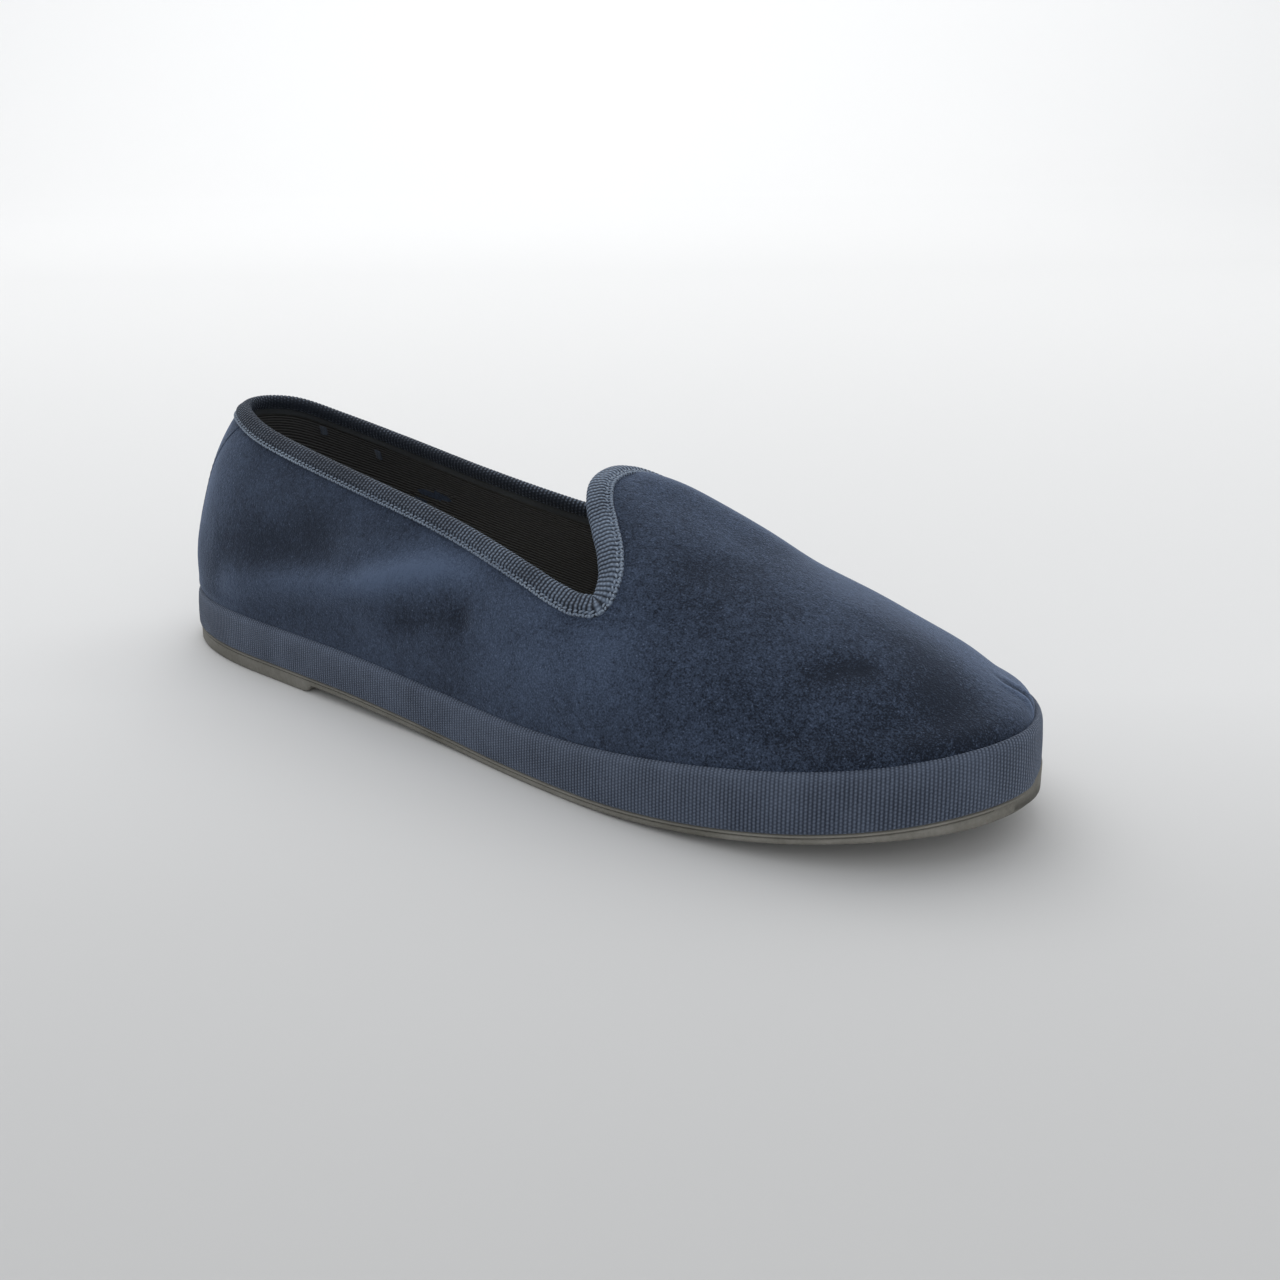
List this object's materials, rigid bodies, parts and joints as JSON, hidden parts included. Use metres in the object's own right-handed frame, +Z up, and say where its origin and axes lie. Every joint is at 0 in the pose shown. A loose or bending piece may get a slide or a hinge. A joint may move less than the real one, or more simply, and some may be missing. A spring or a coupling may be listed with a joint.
{
  "type": "velvet slipper loafer",
  "caption": "Low slip-on slipper for the right foot: thin-walled velvet upper with a rounded vamp tab and notched throat, taped collar, ribbon-wrapped platform and thin rubber sole.",
  "frame": {"origin": "on the floor, under the centre of the shoe's box", "axes": "+X towards the toe, +Y towards the inner side of the foot, +Z up"},
  "size_m": [0.255, 0.0876, 0.0689],
  "materials": {
    "rubber": "matte grey-olive rubber",
    "board": "pale matte board",
    "ribbon": "ribbed ribbon with a soft sheen",
    "sock": "plain natural cotton",
    "velvet": "navy velvet with a short nap",
    "tape": "ribbed tape with a soft sheen"
  },
  "bodies": {
    "root": {"outsole": "rubber", "midsole": "board", "sole_band": "ribbon", "insole": "sock", "upper": "velvet", "heel_strip": "velvet", "collar_binding": "tape"}
  },
  "joints": []
}
